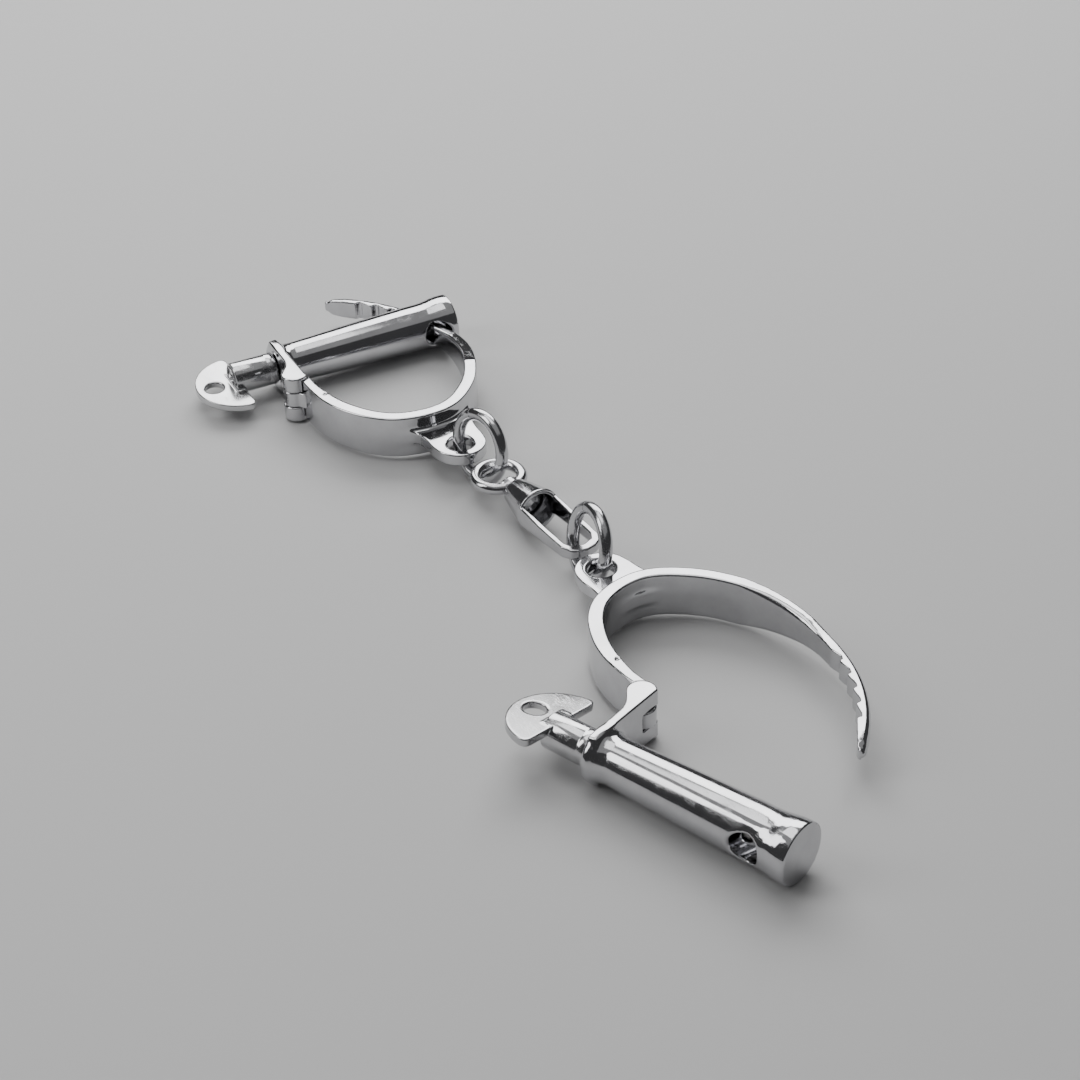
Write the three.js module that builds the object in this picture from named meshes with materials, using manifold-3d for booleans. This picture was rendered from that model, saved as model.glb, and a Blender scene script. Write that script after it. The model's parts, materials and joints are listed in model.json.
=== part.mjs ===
// A pair of screw-key handcuffs joined by a ring, swivel and ring chain.
// Millimetres, +Z up. The chain runs along +X; cuff A is shut and cuff B stands open.
//
// Each cuff is drawn in its own frame: x runs along the barrel from the mouth to the closed
// end, y points to the wrist side, z = 0 is the mid-plane, and the bow is drawn shut.

import * as THREE from 'three';
import { mergeVertices, toCreasedNormals } from 'three/addons/utils/BufferGeometryUtils.js';
import Module from 'manifold-3d';

// ---- barrel, arm and fork ----
const BARREL_LENGTH = 76;
const BARREL_END_R = 11.0;
const COLLAR_X = -4.8;
const BORE_R = 5.6;
const BORE_DEPTH_X = 54;
const GUIDE_R = 3.6;
const ARM_FACE_X = -1.3;
const ARM_HALF_H = 10.0;
const HINGE = new THREE.Vector2(-5.4, 24.85);
const KNUCKLE_R = 5.3;
const FORK_HALF_GAP = 3.6;
const FORK_CLEAR_R = 6.2;

// ---- bow ----
const BAND_HALF_H = 8.9;
const SHOULDER_R = 5.9;
const TONGUE_R = 5.0;
const TONGUE_HALF_H = 3.3;
const TAIL_OUTER_R = 75.9;
const TAIL_MID_R = 73.55;
const TAIL_HALF_H = 4.1;
const TAIL_CREST_R = 71.2;
const PASSAGE_R = 5.5;
const PASSAGE_SHIFT = 0.45;
const TOOTH_COUNT = 5;
const TOOTH_PITCH_DEG = 6.2;
const FIRST_VALLEY_DEG = -20.2;
const VALLEY_R = 72.8;
const LUG_HOLE = new THREE.Vector2(35.5, 95.5);
const LUG_HOLE_R = 5.1;
const LUG_HALF_H = 2.5;
const LUG_BEVEL = 0.8;

// ---- lock and key ----
const PIN_R = 2.0;
const PIN_HOLE_R = 2.3;
const BOLT_TIP_X = 59.4;
const BOLT_NOSE_R = 3.2;
const FLANGE_X = [46.0, 50.0];
const FLANGE_R = 5.2;
const BOLT_TAIL_X = 8.0;
const BOLT_TAIL_R = 2.5;
const SEAT_X = [16.6, 20.0];
const SEAT_BORE_R = 3.0;
const SPRING_X = [24.2, 45.2];
const SPRING_TURNS = 9;
const SPRING_R = 4.25;
const SPRING_WIRE_R = 0.45;
const SHANK_R = 4.9;
const SHANK_X = [-24.0, 16.0];
const SHANK_HEAD_R = 6.7;
const SHANK_HEAD_END_X = -5.2;
const SHANK_BORE_R = 3.0;
const KEY_PLATE_R = 18.8;
const KEY_PLATE_X = -20.4;
const KEY_PLATE_Z = 3.2;
const KEY_PLATE_T = 3.0;
const KEY_HOLE_X = -31.9;
const KEY_HOLE_R = 4.0;

// ---- chain ----
const RING_R = 13.2;
const RING_WIRE_R = 2.5;
const EYE_CENTRE = new THREE.Vector3(-27.0, 3.0, 9.5);
const SWIVEL_TURN_DEG = 1.4;
const EYE_R = 9.0;
const EYE_WIRE_R = 2.3;
const STEM_R = 2.4;
const NECK_HOLE_R = 2.8;
const YOKE_START_X = 12.0;
const YOKE_MOUTH_X = 29.0;
const YOKE_END_X = 63.0;
const WINDOW_END_X = 59.5;
const BELL_HALF_W = 9.0;
const YOKE_TIP_HALF_W = 8.2;
const BUTTON_X = [20.8, 23.8];
const BUTTON_R = 4.8;
const CAVITY_X = 20.5;
const CAVITY_R = [5.4, 7.2];
const WINDOW_HALF_W = [6.3, 5.8];

// ---- where everything stands ----
const AXIS_Z = BARREL_END_R;
const CUFF_A = { x: -148.8, y: -28.8, turnDeg: 86, flipped: true, openDeg: 0, keyRollDeg: 3 };
const CUFF_B = { x: 139.5, y: -53.5, turnDeg: 19, flipped: false, openDeg: 78, keyRollDeg: -11 };
const RING_A = { centre: [-40.1, 2.8, 16.3], turnDeg: 9, leanDeg: 9 };
const RING_B = { centre: [38.3, 3.4, 15.5], turnDeg: -7.5, leanDeg: 12.5 };

const wasm = await Module();
wasm.setup();

// ---------------------------------------------------------------- solids

function rad(deg) {
  return THREE.MathUtils.degToRad(deg);
}

// Turns a geometry into a manifold solid, dropping the slivers at lathe poles.
function solid(geometry) {
  const bare = geometry.clone();
  bare.deleteAttribute('normal');
  bare.deleteAttribute('uv');
  const merged = mergeVertices(bare, 1e-4);
  const tris = [];
  for (let i = 0; i < merged.index.count; i += 3) {
    const [a, b, c] = [0, 1, 2].map((k) => merged.index.getX(i + k));
    if (a !== b && b !== c && c !== a) tris.push(a, b, c);
  }
  const mesh = new wasm.Mesh({
    numProp: 3,
    vertProperties: new Float32Array(merged.attributes.position.array),
    triVerts: new Uint32Array(tris),
  });
  return new wasm.Manifold(mesh);
}

function fuse(...parts) {
  return parts.reduce((whole, part) => whole.add(part));
}

function cut(body, ...tools) {
  return tools.reduce((rest, tool) => rest.subtract(tool), body);
}

function common(a, b) {
  return a.intersect(b);
}

function toGeometry(body) {
  const mesh = body.getMesh();
  const geometry = new THREE.BufferGeometry();
  geometry.setAttribute('position', new THREE.BufferAttribute(mesh.vertProperties, 3));
  geometry.setIndex(new THREE.BufferAttribute(mesh.triVerts, 1));
  return geometry;
}

// Solid of revolution about the x axis from [x, r] points listed from low x to high x.
function turned(points, segments = 40) {
  const profile = points.map(([x, r]) => new THREE.Vector2(r, x));
  const geometry = new THREE.LatheGeometry(profile, segments);
  geometry.rotateZ(-Math.PI / 2);
  return solid(geometry);
}

function rod(x0, x1, r, segments = 32) {
  return turned([[x0, 0], [x0, r], [x1, r], [x1, 0]], segments);
}

// Upright cylinder about z.
function post(x, y, z0, z1, r, segments = 32) {
  const geometry = new THREE.CylinderGeometry(r, r, z1 - z0, segments);
  geometry.rotateX(Math.PI / 2);
  geometry.translate(x, y, (z0 + z1) / 2);
  return solid(geometry);
}

function block(x0, x1, y0, y1, z0, z1) {
  const geometry = new THREE.BoxGeometry(x1 - x0, y1 - y0, z1 - z0);
  geometry.translate((x0 + x1) / 2, (y0 + y1) / 2, (z0 + z1) / 2);
  return solid(geometry);
}

// Plate with the given plan, centred on z = 0.
function plate(shape, halfHeight, curveSegments = 12) {
  const geometry = new THREE.ExtrudeGeometry(shape, {
    depth: 2 * halfHeight,
    bevelEnabled: false,
    curveSegments,
  });
  geometry.translate(0, 0, -halfHeight);
  return solid(geometry);
}

function torus(r, wireR, tube = 12, around = 44) {
  return new THREE.TorusGeometry(r, wireR, tube, around);
}

// ---------------------------------------------------------------- barrel

function barrelOutside() {
  return turned([
    [COLLAR_X, 0],
    [COLLAR_X, 9.5],
    [COLLAR_X + 0.6, 10.2],
    [-1.9, 10.3],
    [ARM_FACE_X, 9.9],
    [-0.2, 9.2],
    [1.4, 8.65],
    [3.6, 8.4],
    [30, 9.25],
    [57, 10.1],
    [64, 10.2],
    [67.5, 10.6],
    [70.5, 10.95],
    [75.4, BARREL_END_R],
    [BARREL_LENGTH, 10.5],
    [BARREL_LENGTH, 0],
  ], 48);
}

// Flat arm across the mouth, ending in the knuckle that carries the hinge.
function armPlate() {
  const shape = new THREE.Shape();
  const cornerY = HINGE.y + Math.sqrt(KNUCKLE_R ** 2 - (ARM_FACE_X - HINGE.x) ** 2);
  const start = Math.atan2(cornerY - HINGE.y, ARM_FACE_X - HINGE.x);
  shape.moveTo(ARM_FACE_X, -5);
  shape.lineTo(ARM_FACE_X, cornerY);
  shape.absarc(HINGE.x, HINGE.y, KNUCKLE_R, start, rad(205), false);
  shape.quadraticCurveTo(-7.4, 19.4, -5.2, 15.4);
  shape.lineTo(-4.7, 8);
  shape.lineTo(-4.4, -5);
  shape.closePath();
  return plate(shape, ARM_HALF_H, 14);
}

// Cross hole that the tail runs through, square to the line from hinge to hole.
function passage() {
  const x = HINGE.x + Math.sqrt(TAIL_MID_R ** 2 - HINGE.y ** 2);
  const slant = Math.atan2(HINGE.y, x - HINGE.x);
  const geometry = new THREE.CylinderGeometry(PASSAGE_R, PASSAGE_R, 40, 32);
  geometry.rotateZ(-slant);
  geometry.translate(x - PASSAGE_SHIFT * Math.cos(slant), PASSAGE_SHIFT * Math.sin(slant), 0);
  return solid(geometry);
}

// The pin goes in from the side that lies underneath; the other ear stays whole.
function barrelBody(openSide) {
  const bore = turned([
    [COLLAR_X - 1, 0],
    [COLLAR_X - 1, BORE_R + 1.8],
    [COLLAR_X + 0.8, BORE_R],
    [BORE_DEPTH_X, BORE_R],
    [BORE_DEPTH_X, 0],
  ], 36);
  const guide = rod(BORE_DEPTH_X - 1, 62, GUIDE_R, 28);
  const fork = post(HINGE.x, HINGE.y, -FORK_HALF_GAP, FORK_HALF_GAP, FORK_CLEAR_R, 36);
  const pinHole = upright(openSide, ARM_HALF_H + 1, 1.4 - ARM_HALF_H, PIN_HOLE_R);
  return cut(fuse(barrelOutside(), armPlate()), bore, guide, passage(), fork, pinHole);
}

// Post on the hinge line from one height to another, both counted towards the open side.
function upright(openSide, near, far, r) {
  const ends = [openSide * near, openSide * far];
  return post(HINGE.x, HINGE.y, Math.min(...ends), Math.max(...ends), r, 24);
}

// ---------------------------------------------------------------- bow

// Centre line of the band from the hinge to the start of the tail: x, y, thickness.
const BAND_LINE = [
  [-2.1, 27.0, 4.2],
  [-2.1, 31.0, 4.2],
  [-2.0, 36.0, 4.3],
  [-1.1, 43.0, 5.0],
  [0.1, 48.8, 5.4],
  [2.8, 56.3, 5.6],
  [7.6, 64.6, 5.7],
  [12.6, 70.3, 5.6],
  [18.0, 74.1, 5.5],
  [24.0, 76.2, 5.4],
  [30.6, 77.1, 5.4],
  [37.5, 76.5, 5.4],
  [44.0, 73.6, 5.4],
  [50.0, 68.6, 5.4],
  [55.3, 62.6, 5.3],
  [59.2, 56.4, 5.2],
];

// The tail closes on an arc about the hinge: bearing in degrees, thickness, half height, and
// for the first rows how far the outer face still lies inside that arc.
const TAIL_LINE = [
  [20, 5.2, BAND_HALF_H, 1.1],
  [13, 5.1, 8.1, 0.7],
  [6, 5.0, 7.1, 0.3],
  [-1.5, 4.9, 6.0],
  [-4.5, 4.7, 4.7],
  [-8, 4.7, TAIL_HALF_H],
  [-16, 4.7, TAIL_HALF_H],
  [-24, 4.7, TAIL_HALF_H],
  [-32, 4.7, TAIL_HALF_H],
  [-40, 4.7, TAIL_HALF_H],
  [-47, 4.7, TAIL_HALF_H],
  [-51, 4.2, 4.0],
  [-54.5, 3.4, 3.6],
  [-57.2, 2.4, 2.8],
];

function tailPoint(bearingDeg, r) {
  const a = rad(bearingDeg);
  return new THREE.Vector2(HINGE.x + r * Math.cos(a), HINGE.y + r * Math.sin(a));
}

// Stations along the band: centre, unit normal to the left of travel, thickness, half height.
function bandStations() {
  const rows = BAND_LINE.map(([x, y, t]) => ({ p: new THREE.Vector2(x, y), t, h: BAND_HALF_H }));
  TAIL_LINE.forEach(([bearing, t, h, inset = 0]) => {
    rows.push({ p: tailPoint(bearing, TAIL_OUTER_R - inset - t / 2), t, h });
  });
  const curve = new THREE.SplineCurve(rows.map((row) => row.p));
  const perGap = 3;
  const count = (rows.length - 1) * perGap;
  const stations = [];
  for (let i = 0; i <= count; i += 1) {
    const u = i / count;
    const along = u * (rows.length - 1);
    const k = Math.min(Math.floor(along), rows.length - 2);
    const f = along - k;
    const tangent = curve.getTangent(u);
    stations.push({
      p: curve.getPoint(u),
      n: new THREE.Vector2(-tangent.y, tangent.x),
      t: THREE.MathUtils.lerp(rows[k].t, rows[k + 1].t, f),
      h: THREE.MathUtils.lerp(rows[k].h, rows[k + 1].h, f),
    });
  }
  return stations;
}

// Skin over eight-sided sections: a rectangle with its four corners taken off.
function bandLoft() {
  const chamfer = 0.6;
  const positions = [];
  const stations = bandStations();
  stations.forEach(({ p, n, t, h }) => {
    const w = t / 2;
    const corners = [
      [w, h - chamfer], [w - chamfer, h], [chamfer - w, h], [-w, h - chamfer],
      [-w, chamfer - h], [chamfer - w, -h], [w - chamfer, -h], [w, chamfer - h],
    ];
    corners.forEach(([s, z]) => positions.push(p.x + n.x * s, p.y + n.y * s, z));
  });
  const sides = 8;
  const index = [];
  for (let i = 0; i < stations.length - 1; i += 1) {
    for (let j = 0; j < sides; j += 1) {
      const a = i * sides + j;
      const b = i * sides + ((j + 1) % sides);
      index.push(a, b, a + sides, b, b + sides, a + sides);
    }
  }
  const last = (stations.length - 1) * sides;
  for (let j = 1; j < sides - 1; j += 1) {
    index.push(0, j + 1, j);
    index.push(last, last + j, last + j + 1);
  }
  const geometry = new THREE.BufferGeometry();
  geometry.setAttribute('position', new THREE.Float32BufferAttribute(positions, 3));
  geometry.setIndex(index);
  return solid(geometry);
}

// One ratchet notch: steep on the band side, easy on the tip side.
function toothCutter(valleyDeg) {
  const outline = [
    [valleyDeg + 3.9, TAIL_CREST_R - 2],
    [valleyDeg + 3.9, TAIL_CREST_R + 0.05],
    [valleyDeg + 1.4, VALLEY_R - 0.45],
    [valleyDeg + 0.4, VALLEY_R],
    [valleyDeg - 0.5, VALLEY_R - 0.1],
    [valleyDeg - 1.2, TAIL_CREST_R - 0.2],
    [valleyDeg - 1.2, TAIL_CREST_R - 2],
  ];
  const shape = new THREE.Shape(outline.map(([bearing, r]) => tailPoint(bearing, r)));
  return plate(shape, TAIL_HALF_H + 1);
}

function lugPlate() {
  const outline = new THREE.SplineCurve([
    [20.5, 76.5], [23.6, 81.5], [24.7, 87], [24.8, 93], [26.2, 99], [30, 103.4], [35.5, 105.2],
    [41.2, 103.6], [45.2, 99], [46.4, 93], [46.6, 87], [47.8, 80.5], [50.5, 71.5],
  ].map(([x, y]) => new THREE.Vector2(x, y)));
  const shape = new THREE.Shape(outline.getPoints(40));
  shape.closePath();
  return plate(shape, LUG_HALF_H);
}

// Through hole with both edges bevelled, so that the chain ring can lean in it.
function lugHole() {
  const rim = LUG_HALF_H - LUG_BEVEL;
  const outline = turned([
    [-LUG_HALF_H - 1, 0],
    [-LUG_HALF_H - 1, LUG_HOLE_R + LUG_BEVEL + 1],
    [-rim, LUG_HOLE_R],
    [rim, LUG_HOLE_R],
    [LUG_HALF_H + 1, LUG_HOLE_R + LUG_BEVEL + 1],
    [LUG_HALF_H + 1, 0],
  ], 28);
  return outline.rotate([0, 90, 0]).translate([LUG_HOLE.x, LUG_HOLE.y, 0]);
}

function tongue() {
  const neck = new THREE.Shape([
    new THREE.Vector2(HINGE.x - 3.5, HINGE.y + 1),
    new THREE.Vector2(HINGE.x + 4.6, HINGE.y + 1),
    new THREE.Vector2(-0.2, 33),
    new THREE.Vector2(-4.0, 33),
  ]);
  const eye = post(HINGE.x, HINGE.y, -TONGUE_HALF_H, TONGUE_HALF_H, TONGUE_R, 32);
  return fuse(eye, plate(neck, TONGUE_HALF_H));
}

function bowBody() {
  const shoulder = post(HINGE.x, HINGE.y, -20, 20, SHOULDER_R, 40);
  const teeth = [];
  for (let i = 0; i < TOOTH_COUNT; i += 1) {
    teeth.push(toothCutter(FIRST_VALLEY_DEG - i * TOOTH_PITCH_DEG));
  }
  const band = cut(bandLoft(), shoulder, ...teeth);
  const whole = fuse(band, lugPlate(), tongue());
  const pinHole = post(HINGE.x, HINGE.y, -20, 20, PIN_HOLE_R, 24);
  return cut(whole, pinHole, lugHole());
}

// ---------------------------------------------------------------- lock and key

function hingePin(openSide) {
  return upright(openSide, ARM_HALF_H - 0.3, 1.8 - ARM_HALF_H, PIN_R);
}

function lockBolt() {
  return turned([
    [BOLT_TAIL_X, 0],
    [BOLT_TAIL_X, BOLT_TAIL_R - 0.4],
    [BOLT_TAIL_X + 0.4, BOLT_TAIL_R],
    [FLANGE_X[0], BOLT_TAIL_R],
    [FLANGE_X[0], FLANGE_R],
    [FLANGE_X[1], FLANGE_R],
    [FLANGE_X[1], BOLT_NOSE_R],
    [BOLT_TIP_X - 0.8, BOLT_NOSE_R],
    [BOLT_TIP_X, BOLT_NOSE_R - 0.9],
    [BOLT_TIP_X, 0],
  ], 28);
}

function springSeat() {
  return turned([
    [SEAT_X[0], SEAT_BORE_R],
    [SEAT_X[0], BORE_R - 0.3],
    [SEAT_X[1], BORE_R - 0.3],
    [SEAT_X[1], SEAT_BORE_R],
    [SEAT_X[0], SEAT_BORE_R],
  ], 28);
}

// Helix about the barrel axis with both ends closed by the extrusion.
class Helix extends THREE.Curve {
  getPoint(u) {
    const a = u * SPRING_TURNS * 2 * Math.PI;
    const x = THREE.MathUtils.lerp(SPRING_X[0], SPRING_X[1], u);
    return new THREE.Vector3(x, SPRING_R * Math.cos(a), SPRING_R * Math.sin(a));
  }
}

function lockSpring() {
  const wire = new THREE.Shape();
  wire.absarc(0, 0, SPRING_WIRE_R, 0, 2 * Math.PI, false);
  return solid(new THREE.ExtrudeGeometry(wire, {
    steps: SPRING_TURNS * 12,
    curveSegments: 3,
    extrudePath: new Helix(),
  }));
}

// Thick outside the barrel, stepped down where it enters the bore.
function keyShank() {
  const outside = turned([
    [SHANK_X[0], 0],
    [SHANK_X[0], SHANK_HEAD_R - 0.4],
    [SHANK_X[0] + 0.4, SHANK_HEAD_R],
    [SHANK_HEAD_END_X, SHANK_HEAD_R],
    [SHANK_HEAD_END_X, SHANK_R],
    [SHANK_X[1] - 0.5, SHANK_R],
    [SHANK_X[1], SHANK_R - 0.5],
    [SHANK_X[1], 0],
  ], 36);
  return cut(outside, rod(-2, SHANK_X[1] + 1, SHANK_BORE_R, 28));
}

// Half-round thumb plate, brazed to the shank to one side of its axis.
function keyPlate() {
  const shape = new THREE.Shape();
  shape.moveTo(KEY_PLATE_X, -KEY_PLATE_R);
  shape.lineTo(KEY_PLATE_X, KEY_PLATE_R);
  shape.absarc(KEY_PLATE_X, 0, KEY_PLATE_R, rad(90), rad(270), false);
  const hole = post(KEY_HOLE_X, 0, -10, 10, KEY_HOLE_R, 28);
  const notch = rod(SHANK_X[0] - 0.3, 0, SHANK_HEAD_R + 0.3, 36);
  const pierced = cut(plate(shape, KEY_PLATE_T / 2, 36), hole);
  return cut(pierced.translate([0, 0, KEY_PLATE_Z]), notch);
}

// ---------------------------------------------------------------- chain

function chainRing({ centre, turnDeg, leanDeg }) {
  const geometry = torus(RING_R, RING_WIRE_R, 14, 44);
  geometry.rotateX(Math.PI / 2);
  geometry.rotateX(-rad(leanDeg));
  geometry.rotateZ(rad(turnDeg));
  geometry.translate(...centre);
  return solid(geometry);
}

// The swivel is drawn with the eye's centre at the origin and the yoke along +x.
function swivelEye() {
  const stem = turned([
    [EYE_R, 0],
    [EYE_R, STEM_R],
    [BUTTON_X[0], STEM_R],
    [BUTTON_X[0], BUTTON_R],
    [BUTTON_X[0] + 1.4, BUTTON_R],
    [BUTTON_X[1] - 0.4, 3.2],
    [BUTTON_X[1], 0],
  ], 28);
  return fuse(solid(torus(EYE_R, EYE_WIRE_R, 14, 40)), stem);
}

function bell() {
  return turned([
    [YOKE_START_X, NECK_HOLE_R],
    [YOKE_START_X, 4.7],
    [YOKE_START_X + 0.8, 5.5],
    [YOKE_START_X + 6, 6.7],
    [YOKE_MOUTH_X - 0.5, BELL_HALF_W],
    [YOKE_MOUTH_X, BELL_HALF_W - 0.4],
    [YOKE_MOUTH_X, CAVITY_R[1]],
    [CAVITY_X, CAVITY_R[0]],
    [CAVITY_X, NECK_HOLE_R],
    [YOKE_START_X, NECK_HOLE_R],
  ], 36);
}

// Two arms and the end bridge: a stirrup in plan, thinning towards the end in side view.
function stirrup() {
  const startX = YOKE_MOUTH_X - 4;
  const plan = new THREE.Shape();
  plan.moveTo(startX, -BELL_HALF_W);
  plan.lineTo(YOKE_MOUTH_X, -BELL_HALF_W);
  plan.lineTo(YOKE_END_X - 6, -YOKE_TIP_HALF_W);
  plan.quadraticCurveTo(YOKE_END_X, -YOKE_TIP_HALF_W, YOKE_END_X, 0);
  plan.quadraticCurveTo(YOKE_END_X, YOKE_TIP_HALF_W, YOKE_END_X - 6, YOKE_TIP_HALF_W);
  plan.lineTo(YOKE_MOUTH_X, BELL_HALF_W);
  plan.lineTo(startX, BELL_HALF_W);
  plan.closePath();
  const gap = new THREE.Path();
  const [wide, narrow] = WINDOW_HALF_W;
  gap.moveTo(startX - 5, -wide);
  gap.lineTo(WINDOW_END_X - 4, -narrow);
  gap.quadraticCurveTo(WINDOW_END_X, -narrow, WINDOW_END_X, 0);
  gap.quadraticCurveTo(WINDOW_END_X, narrow, WINDOW_END_X - 4, narrow);
  gap.lineTo(startX - 5, wide);
  gap.closePath();
  const side = new THREE.Shape([
    [startX, -4.2], [YOKE_MOUTH_X, -4.2], [YOKE_MOUTH_X + 12, -3.1], [YOKE_END_X - 4, -2.3],
    [YOKE_END_X - 0.8, -1.8], [YOKE_END_X, -1.0], [YOKE_END_X, 1.0], [YOKE_END_X - 0.8, 1.8],
    [YOKE_END_X - 4, 2.3], [YOKE_MOUTH_X + 12, 3.1], [YOKE_MOUTH_X, 4.2], [startX, 4.2],
  ].map(([x, z]) => new THREE.Vector2(x, z)));
  const sideGeometry = new THREE.ExtrudeGeometry(side, { depth: 20, bevelEnabled: false });
  sideGeometry.translate(0, 0, -10);
  sideGeometry.rotateX(Math.PI / 2);
  const bars = common(plate(plan, 10), solid(sideGeometry));
  const round = turned([
    [startX, 0],
    [startX, BELL_HALF_W - 0.9],
    [YOKE_MOUTH_X, BELL_HALF_W - 0.1],
    [YOKE_END_X + 1, BELL_HALF_W - 0.1],
    [YOKE_END_X + 1, 0],
  ], 48);
  return cut(common(bars, round), plate(new THREE.Shape(gap.getPoints(12)), 12));
}

function swivelYoke() {
  const socket = turned([
    [CAVITY_X, 0],
    [CAVITY_X, CAVITY_R[0]],
    [YOKE_MOUTH_X, CAVITY_R[1]],
    [YOKE_MOUTH_X, 0],
  ], 36);
  return fuse(bell(), cut(stirrup(), socket));
}

// ---------------------------------------------------------------- assembly

const group = new THREE.Group();

function addMesh(name, body, matrix, look) {
  const geometry = toGeometry(body);
  geometry.applyMatrix4(matrix);
  const material = new THREE.MeshStandardMaterial(look);
  material.name = name;
  const mesh = new THREE.Mesh(toCreasedNormals(geometry, rad(32)), material);
  mesh.name = name;
  group.add(mesh);
}

const NICKEL = { color: 0xc9cbd0, metalness: 1, roughness: 0.16 };
const STEEL = { color: 0x9a9ca1, metalness: 1, roughness: 0.34 };

function turnAboutHinge(deg) {
  const there = new THREE.Matrix4().makeTranslation(HINGE.x, HINGE.y, 0);
  const back = new THREE.Matrix4().makeTranslation(-HINGE.x, -HINGE.y, 0);
  return there.multiply(new THREE.Matrix4().makeRotationZ(rad(deg))).multiply(back);
}

function cuffMatrix(cuff) {
  const matrix = new THREE.Matrix4().makeTranslation(cuff.x, cuff.y, AXIS_Z);
  matrix.multiply(new THREE.Matrix4().makeRotationZ(rad(cuff.turnDeg)));
  if (cuff.flipped) matrix.multiply(new THREE.Matrix4().makeRotationX(Math.PI));
  return matrix;
}

function addCuff(letter, cuff) {
  const fixed = cuffMatrix(cuff);
  const swung = fixed.clone().multiply(turnAboutHinge(cuff.openDeg));
  const rolled = fixed.clone().multiply(new THREE.Matrix4().makeRotationX(rad(cuff.keyRollDeg)));
  const openSide = cuff.flipped ? 1 : -1;
  addMesh(`barrel_${letter}`, barrelBody(openSide), fixed, NICKEL);
  addMesh(`bow_${letter}`, bowBody(), swung, NICKEL);
  addMesh(`hinge_pin_${letter}`, hingePin(openSide), fixed, STEEL);
  addMesh(`lock_bolt_${letter}`, lockBolt(), fixed, STEEL);
  addMesh(`lock_spring_${letter}`, lockSpring(), fixed, STEEL);
  addMesh(`spring_seat_${letter}`, springSeat(), fixed, STEEL);
  addMesh(`key_shank_${letter}`, keyShank(), fixed, NICKEL);
  addMesh(`key_plate_${letter}`, keyPlate(), rolled, NICKEL);
}

addCuff('a', CUFF_A);
addCuff('b', CUFF_B);
addMesh('ring_a', chainRing(RING_A), new THREE.Matrix4(), NICKEL);
addMesh('ring_b', chainRing(RING_B), new THREE.Matrix4(), NICKEL);
const swivelPlace = new THREE.Matrix4().makeTranslation(...EYE_CENTRE.toArray());
swivelPlace.multiply(new THREE.Matrix4().makeRotationZ(rad(SWIVEL_TURN_DEG)));
addMesh('swivel_eye', swivelEye(), swivelPlace, NICKEL);
addMesh('swivel_yoke', swivelYoke(), swivelPlace, NICKEL);

// The origin is the bottom centre of everything together.
const box = new THREE.Box3().setFromObject(group);
const centre = box.getCenter(new THREE.Vector3());
group.children.forEach((mesh) => mesh.geometry.translate(-centre.x, -centre.y, -box.min.z));

export default group;
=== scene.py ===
"""Looks of a pair of polished screw-key handcuffs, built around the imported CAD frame.

Every piece is drawn in millimetres in a frame of its own (a cuff's frame has x along the barrel,
y to the wrist side, z = 0 in mid-plane) as a distance field, turned into a smooth closed mesh,
and set in place by the joints' positions and axes in the frame.
"""

import json
import math

import bpy
import numpy as np
from mathutils import Matrix, Vector


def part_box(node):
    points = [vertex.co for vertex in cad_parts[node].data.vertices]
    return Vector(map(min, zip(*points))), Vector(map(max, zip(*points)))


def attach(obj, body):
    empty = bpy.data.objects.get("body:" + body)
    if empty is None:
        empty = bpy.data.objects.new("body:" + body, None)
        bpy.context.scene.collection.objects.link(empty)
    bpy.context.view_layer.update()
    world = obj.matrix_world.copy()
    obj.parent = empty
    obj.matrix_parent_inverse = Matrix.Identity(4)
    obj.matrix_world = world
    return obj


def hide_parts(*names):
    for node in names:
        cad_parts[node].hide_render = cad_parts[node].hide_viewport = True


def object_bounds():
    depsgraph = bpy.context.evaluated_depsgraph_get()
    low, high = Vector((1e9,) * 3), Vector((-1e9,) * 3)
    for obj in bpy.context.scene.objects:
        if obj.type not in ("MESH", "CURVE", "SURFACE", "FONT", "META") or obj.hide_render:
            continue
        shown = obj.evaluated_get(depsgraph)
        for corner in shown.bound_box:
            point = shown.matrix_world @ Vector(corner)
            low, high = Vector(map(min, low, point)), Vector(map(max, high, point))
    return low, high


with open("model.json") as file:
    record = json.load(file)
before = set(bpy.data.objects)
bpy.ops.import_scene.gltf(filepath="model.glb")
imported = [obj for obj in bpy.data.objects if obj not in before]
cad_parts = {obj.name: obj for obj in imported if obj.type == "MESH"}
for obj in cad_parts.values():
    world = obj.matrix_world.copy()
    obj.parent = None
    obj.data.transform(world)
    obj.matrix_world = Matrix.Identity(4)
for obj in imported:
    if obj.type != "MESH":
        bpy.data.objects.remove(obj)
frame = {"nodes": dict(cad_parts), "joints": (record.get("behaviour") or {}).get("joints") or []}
CAD_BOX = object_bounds()
JOINTS = {joint["name"]: joint for joint in frame["joints"]}
MM = 0.001

# ---- barrel, arm and fork (mm) ----
BARREL_END_R = 11.0
BARREL_END_X = 76.0
COLLAR_X = -4.8
BORE_R = 5.6
BORE_END_X = 54.0
HINGE = np.array([-5.4, 24.85])
KNUCKLE_R = 5.3
ARM_HALF_H = 10.0
ARM_FACE_X = -1.3
FORK_HALF_GAP = 3.6
FORK_CLEAR_R = 6.2
PASSAGE_R = 5.5
PIN_HOLE_R = 2.3
PIN_COVER = 1.4
GUIDE_R = 3.6
GUIDE_END_X = 62
MOUTH_INSIDE_R = (8.2, 7.1)
PASSAGE_REACH = 73.55
PASSAGE_SHIFT = 0.45
END_CHAMFER = 0.35
COLLAR_FILLET = 1.6
PASSAGE_ROUNDING = 0.9

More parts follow.
